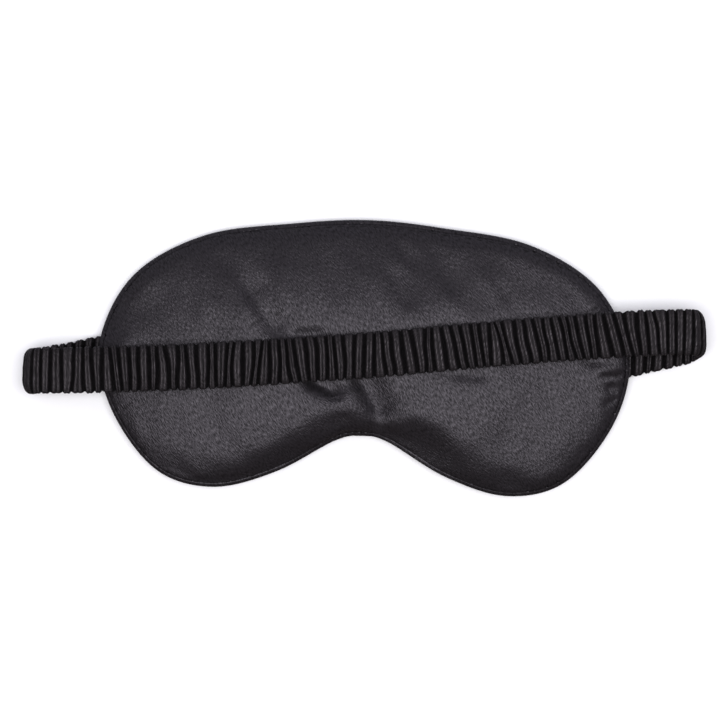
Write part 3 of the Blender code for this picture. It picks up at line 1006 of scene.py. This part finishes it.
def pleat_profile(fill, groove, tilt):
    """One pleat from valley to valley: shares of its width, with heights from 0 to about 1."""
    wall = (1 - fill) / 2
    top = (
        (0.05, 1.0 + tilt),
        (0.18, RIM_HEIGHT + tilt),
        (0.34, 1.0 - 0.7 * groove),
        (0.5, 1.0 - groove),
        (0.66, 1.0 - 0.7 * groove),
        (0.82, RIM_HEIGHT - tilt),
        (0.94, 1.0 - tilt),
    )
    made = [(0.0, 0.0)]
    made += [(share * wall, height) for share, height in PLEAT_WALL]
    made += [(wall + share * fill, height) for share, height in top]
    made += [(1 - share * wall, height) for share, height in PLEAT_WALL[::-1]]
    return made


def flattened_ring(wide, thick):
    """The angles round a flattened tube, and its points there from -1 to 1 each way.

    The lower the two powers, the squarer the tube."""
    theta = 2 * math.pi * (np.arange(ROUND_COUNT) + 0.5) / ROUND_COUNT
    c = np.sign(np.cos(theta)) * np.abs(np.cos(theta)) ** wide
    s = np.sign(np.sin(theta)) * np.abs(np.sin(theta)) ** thick
    return theta, c, s


def sleeve_rings(path, rng):
    """The rings of points round the sleeve, each with its UVs and relief.

    With them come the number of each valley's ring, and the lines of the valleys."""
    lines = valleys(path, rng)
    turned = (path.leg, path.leg + path.turn + 8 * MM)
    theta, c, s = flattened_ring(0.62, 0.5)
    round_run = theta / (2 * math.pi) * 42 * MM
    rings, starts, uvs, reliefs = [], [], [], []
    for k in range(len(lines) - 1):
        starts.append(len(rings))
        middle = lines[k].mean()
        broad = smoothstep((middle - turned[0] + 8 * MM) / (10 * MM)) * (
            1 - smoothstep((middle - turned[1]) / (10 * MM))
        )
        fill = 0.4 + 0.16 * broad + rng.normal(0, 0.04)
        groove = 0.2 + rng.uniform(-0.08, 0.08)
        tilt = rng.normal(0, 0.03)
        ridge = RIDGE * rng.uniform(0.85, 1.1) * (1 - 0.15 * broad)
        wobble = rng.uniform(0, 2 * math.pi, 3)
        here = np.interp(c, ACROSS, lines[k])
        there = np.interp(c, ACROSS, lines[k + 1])
        width = there - here
        uneven = 1 + 0.05 * np.sin(5 * c + wobble[0]) + 0.03 * np.sin(11 * c + wobble[1])
        for share, height in pleat_profile(fill, groove, tilt):
            tall = ridge * height * smoothstep(width / FULL_PLEAT) * uneven
            along_strap = here + share * width
            half_width = VALLEY_HALF_WIDTH + 0.62 * tall
            enter = smoothstep((along_strap - SLEEVE_START) / (5 * MM))
            inward = s * (VALLEY_HALF_THICK + tall * (0.25 + 0.75 * enter))
            rings.append(path.at(along_strap, inward, c * half_width))
            reliefs.append(np.full(ROUND_COUNT, height))
            uvs.append(np.column_stack([along_strap * CLOTH_RUN, round_run]))
    starts.append(len(rings))
    end = np.full(ROUND_COUNT, path.length)
    rings.append(path.at(end, s * VALLEY_HALF_THICK, c * VALLEY_HALF_WIDTH))
    uvs.append(np.column_stack([end * CLOTH_RUN, round_run]))
    reliefs.append(np.zeros(ROUND_COUNT))
    return rings, uvs, reliefs, starts, lines


def tube(name, rings, uvs, sharp_rings=()):
    """A tube of faces through rings of points. The edges along sharp_rings are shaded as creases."""
    count = len(rings[0])
    faces = []
    for r in range(len(rings) - 1):
        for k in range(count):
            j = (k + 1) % count
            a, b = r * count, (r + 1) * count
            faces.append((a + k, b + k, b + j, a + j))
    obj = new_mesh(name, np.vstack(rings), faces, np.vstack(uvs))
    creased = set(sharp_rings)
    for edge in obj.data.edges:
        a, b = (v // count for v in edge.vertices)
        if a == b and a in creased:
            edge.use_edge_sharp = True
    return obj


PIECE_GAP = 0.05 * MM


def bend_between(piece, parent, child, rings):
    """Bake a piece's placement into its mesh."""
    first, last = rings[0], rings[-1]
    ahead = last.mean(axis=0) - first.mean(axis=0)
    ahead /= np.linalg.norm(ahead)
    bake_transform(piece)


def build_strap(side, materials):
    """One side's half of the ruched sleeve, a piece for each link, with the elastic inside it."""
    path = StrapPath(side)
    rng = np.random.default_rng(5 if side == "left" else 8)
    rings, uvs, reliefs, starts, lines = sleeve_rings(path, rng)
    joints = path.joint_lengths()
    middles = [(a + b) / 2 for a, b in zip(joints, joints[1:])]
    means = lines.mean(axis=1)
    cuts = [0] + [int(np.abs(means - m).argmin()) for m in middles] + [len(means) - 1]
    bodies = [f"mask_{side}"] + [f"strap_{side}_{link}" for link in LINKS]
    for k, link in enumerate(LINKS):
        first, last = starts[cuts[k]], starts[cuts[k + 1]]
        part = rings[first : last + 1]
        creased = [start - first for start in starts if first <= start <= last]
        piece = tube(f"strap_sleeve_{side}_{link}", part, uvs[first : last + 1], creased)
        set_relief(piece.data, np.concatenate(reliefs[first : last + 1]))
        piece.data.materials.append(materials["sleeve"])
        node = f"sleeve_{side}_{link}"
        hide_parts(node)
        ends = [part[0], part[-1]]
        if k == 0:
            ends[0] = next(ring for ring in part if abs(ring[:, 0]).min() > SIDE_X + 0.4 * MM)
        bend_between(piece, bodies[k], bodies[k + 1], ends)
        span = (max(means[cuts[k]], ELASTIC_START), means[cuts[k + 1]])
        build_elastic(path, link, span, bodies[k : k + 2], materials)


TAIL_SPAN_MM = (-10.4, -3.29)
TAIL_STEP_MM = 0.35
TAIL_WAVE = 1.9 * MM
BARTACK_ROWS = 25
BARTACK_HALF_WIDTH = 6.6
BARTACK_RADIUS = 0.2 * MM


def build_strap_end(side, path, materials):
    """The sleeve's flattened end between the panels, and the zigzag of thread that holds it."""
    theta, c, s = flattened_ring(0.5, 0.5)
    rings, uvs = [], []
    for at in np.arange(*TAIL_SPAN_MM, TAIL_STEP_MM) * MM:
        wave = 0.5 + 0.5 * math.sin(2 * math.pi * at / TAIL_WAVE)
        here = np.full(ROUND_COUNT, at)
        rings.append(path.at(here, s * (0.55 + 0.22 * wave) * MM, c * 8.3 * MM))
        uvs.append(np.column_stack([here, theta * 6 * MM]))
    tail = tube(f"strap_end_{side}", rings, uvs)
    cap_ends(tail, ROUND_COUNT)
    # A relief of 0.5 gives the whole flattened end the valleys' painted shade and added roughness.
    set_relief(tail.data, np.full(len(tail.data.vertices), 0.5))
    tail.data.materials.append(materials["sleeve"])
    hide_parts(f"strap_tail_{side}")
    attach(tail, f"mask_{side}")
    low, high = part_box(f"bartack_{side}")
    y = STRAP_Y_MM[side][0] * MM
    run = []
    half = (BARTACK_ROWS - 1) // 2
    for k in range(BARTACK_ROWS):
        x = low.x + BARTACK_RADIUS if k % 2 else high.x - BARTACK_RADIUS
        run.append((x, y + (k - half) / half * BARTACK_HALF_WIDTH * MM, SEAM_Z + 1.0 * MM))
    bar = wire(f"bartack_thread_{side}", [run], BARTACK_RADIUS, materials["thread"])
    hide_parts(f"bartack_{side}")
    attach(bar, f"mask_{side}")


def cap_ends(obj, count):
    """Close a tube at both of its ends."""
    bm = bmesh.new()
    bm.from_mesh(obj.data)
    bm.verts.ensure_lookup_table()
    total = len(bm.verts)
    bm.faces.new(bm.verts[:count])
    bm.faces.new(bm.verts[total - count :][::-1])
    bmesh.ops.recalc_face_normals(bm, faces=bm.faces)
    bm.to_mesh(obj.data)
    bm.free()


ELASTIC_START = -1.5 * MM
ELASTIC_STEP = 1.5 * MM
# The corners of the elastic's section, in millimetres: across the strap, and in to the loop's inside.
ELASTIC_CORNERS = (
    (-6.0, -0.3),
    (-5.8, -0.45),
    (5.8, -0.45),
    (6.0, -0.3),
    (6.0, 0.3),
    (5.8, 0.45),
    (-5.8, 0.45),
    (-6.0, 0.3),
)


def build_elastic(path, link, span, bodies, materials):
    """One stretch of the flat elastic inside the sleeve, over the joint between two bodies."""
    start, end = span
    count = max(int((end - start) / ELASTIC_STEP), 4)
    across = np.array([p[0] for p in ELASTIC_CORNERS]) * MM
    inward = np.array([p[1] for p in ELASTIC_CORNERS]) * MM
    rings, uvs = [], []
    for s in np.linspace(start + PIECE_GAP, end - PIECE_GAP, count):
        here = np.full(len(ELASTIC_CORNERS), s)
        rings.append(path.at(here, inward, across))
        uvs.append(np.column_stack([here, across]))
    piece = tube(f"strap_elastic_{path.side}_{link}", rings, uvs)
    piece.data.materials.append(materials["elastic"])
    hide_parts(f"elastic_{path.side}_{link}")
    bend_between(piece, *bodies, [rings[0], rings[-1]])


def bend_at_nose(piece):
    """Bake the placement of a piece that crosses the nose into its mesh."""
    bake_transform(piece)


def main():
    make_view()
    make_lights()
    make_floor()
    materials = {
        "face_panel": satin("satin_face_panel", PANEL_COLOUR, 0.335),
        "outer_panel": satin("satin_outer_panel", PANEL_COLOUR, 0.335),
        "sleeve": satin("satin_ruched_sleeve", SLEEVE_COLOUR, 0.34, ruched=True),
        "elastic": fibrous("elastic_braid", (0.01, 0.01, 0.01), 0.8, 0.7 * MM, 0.3),
        "thread": fibrous("sewing_thread", (0.011, 0.010, 0.012), 0.55, 0.25 * MM, 0.15),
        "wadding": fibrous("polyester_wadding", (0.72, 0.71, 0.67), 0.95, 2.5 * MM, 0.2),
        "lining": fibrous("blackout_lining", (0.012, 0.012, 0.013), 0.9, 0.9 * MM, 0.2),
    }
    pads, points, faces, count = build_pad(materials)
    for name, slot in (("face_panel", "satin_face"), ("outer_panel", "satin_outer")):
        piece = pads[name]
        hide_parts(f"{name}_left", f"{name}_right")
        bend_at_nose(piece)
    build_filling(pads, points, faces, count, materials)
    build_allowance(points, count, materials)
    build_topstitch(pads, points, count, materials)
    for side in SIDES:
        build_strap(side, materials)
        build_strap_end(side, StrapPath(side), materials)


main()
